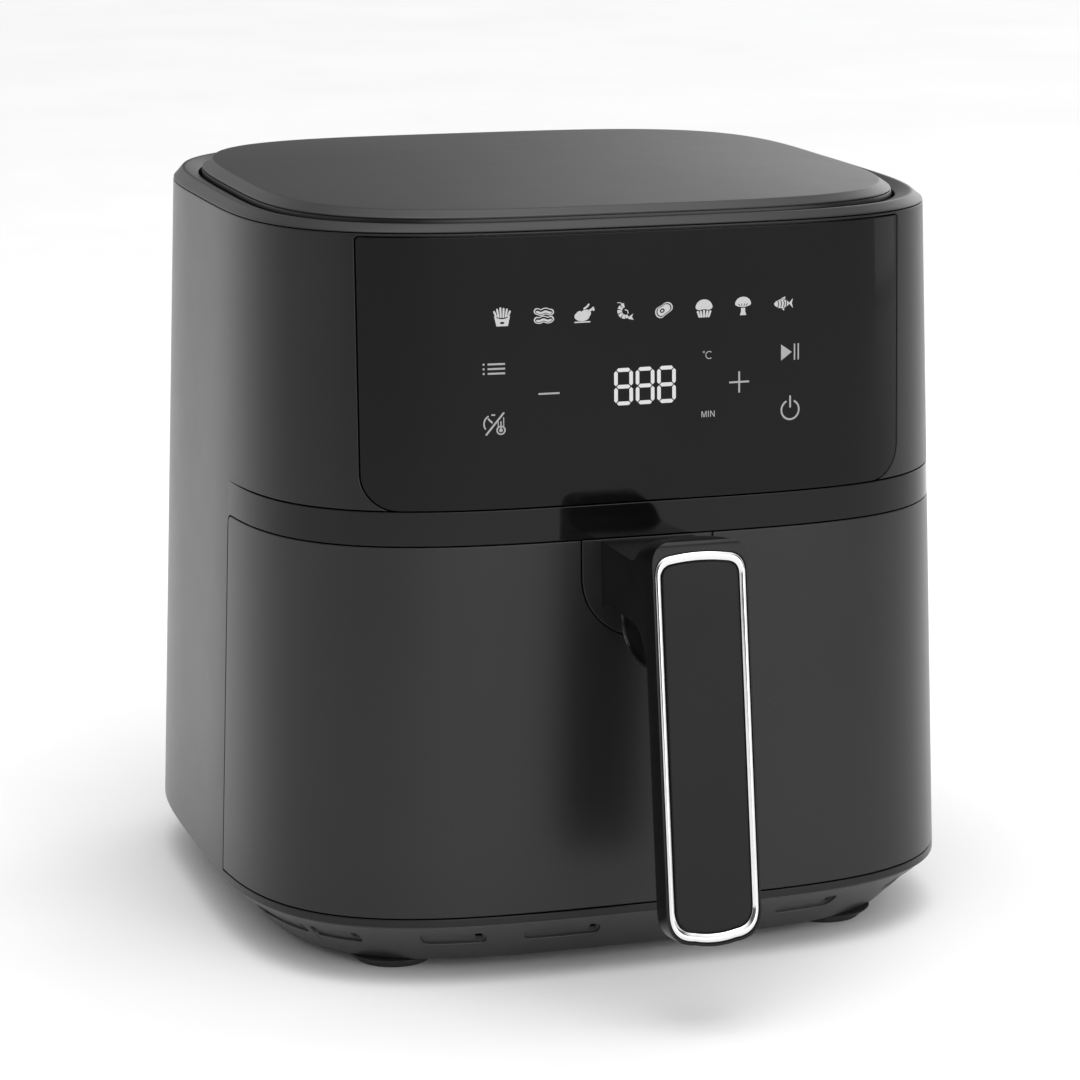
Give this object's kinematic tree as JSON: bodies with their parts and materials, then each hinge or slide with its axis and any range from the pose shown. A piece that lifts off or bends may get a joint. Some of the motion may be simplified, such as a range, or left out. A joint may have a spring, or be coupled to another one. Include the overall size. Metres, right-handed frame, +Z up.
{
  "type": "air fryer",
  "caption": "Rounded-square basket air fryer with a touch panel, a domed cover, a pull-out drawer with a rimmed handle, a cooking pot, a lift-out crisper plate, and a fan and heater inside.",
  "frame": {"origin": "on the surface that the feet stand on, under the middle of the object's bounding box, handle included", "axes": "+Z up, the front with its handle and panel faces -Y, +X is to the right for someone who stands in front of it and looks along +Y"},
  "size_m": [0.3002, 0.3658, 0.3013],
  "materials": {
    "satin_black": "satin black moulded plastic",
    "gloss_black": "high-gloss black",
    "moulded_black": "matte black moulded plastic",
    "rubber_black": "matte black rubber",
    "chrome_trim": "bright chrome plating",
    "silicone_black": "dark grey silicone",
    "non_stick": "fine speckled dark non-stick coating",
    "sheet_steel": "brushed aluminised sheet steel",
    "dark_steel": "dark heat-stained steel",
    "copper_winding": "enamelled copper wire, wound",
    "circuit_board": "green circuit board",
    "component_black": "black plastic",
    "component_white": "off-white plastic"
  },
  "bodies": {
    "housing": {"outer_shell": "satin_black", "front_trim_band": "gloss_black", "control_panel": "gloss_black", "top_rim": "satin_black", "top_cover": "satin_black", "base_pan": "satin_black", "rear_vent_grille": "satin_black", "foot_front_left": "rubber_black", "foot_front_right": "rubber_black", "foot_rear_left": "rubber_black", "foot_rear_right": "rubber_black", "cord_gland": "moulded_black", "support_deck": "sheet_steel", "cavity_liner": "sheet_steel", "heat_reflector": "sheet_steel", "heating_element": "dark_steel", "element_guard": "sheet_steel", "temperature_probe": "sheet_steel", "thermal_cutout": "component_black", "air_duct": "moulded_black", "motor_stator": "dark_steel", "motor_winding": "copper_winding", "motor_bracket_lower": "sheet_steel", "motor_bracket_upper": "sheet_steel", "power_board": "circuit_board", "power_transformer": "component_black", "power_relay": "component_white", "power_capacitor": "component_black", "panel_carrier": "moulded_black", "touch_film": "component_black", "display_board": "circuit_board", "led_module": "component_white", "buzzer": "component_black", "display_cable": "component_black", "heater_lead_1": "component_black", "heater_lead_2": "component_black", "switch_body": "component_black"},
    "drawer": {"drawer_front": "satin_black", "drawer_frame": "moulded_black", "cooking_pot": "non_stick", "pot_bracket": "sheet_steel", "handle_shell": "satin_black", "handle_trim_ring": "chrome_trim", "handle_insert": "satin_black", "handle_guard": "satin_black", "handle_screw_left": "sheet_steel", "handle_screw_right": "sheet_steel"},
    "tray": {"crisper_plate": "non_stick", "plate_bumper_1": "silicone_black", "plate_bumper_2": "silicone_black", "plate_bumper_3": "silicone_black", "plate_bumper_4": "silicone_black"},
    "fan_rotor": {"motor_rotor": "dark_steel", "motor_shaft": "sheet_steel", "convection_fan": "sheet_steel", "cooling_fan": "component_black", "fan_nut": "sheet_steel"},
    "switch_plunger": {"switch_plunger": "component_white"}
  },
  "joints": [
    {"name": "drawer_slide", "type": "slide", "parent": "housing", "child": "drawer", "axis": [0, -1, 0], "range_m": [0, 0.26]},
    {"name": "tray_lift", "type": "slide", "parent": "drawer", "child": "tray", "axis": [0, 0, 1], "range_m": [0, 0.1]},
    {"name": "fan_spin", "type": "hinge", "parent": "housing", "child": "fan_rotor", "pos_m": [0, 0.03594, 0.225], "axis": [0, 0, 1], "continuous": true},
    {"name": "switch_press", "type": "slide", "parent": "housing", "child": "switch_plunger", "axis": [0, -1, 0], "range_m": [0, 0.0013]}
  ],
  "couplings": [
    {"joint": "switch_press", "follows": "drawer_slide", "ratio": 0.005}
  ]
}
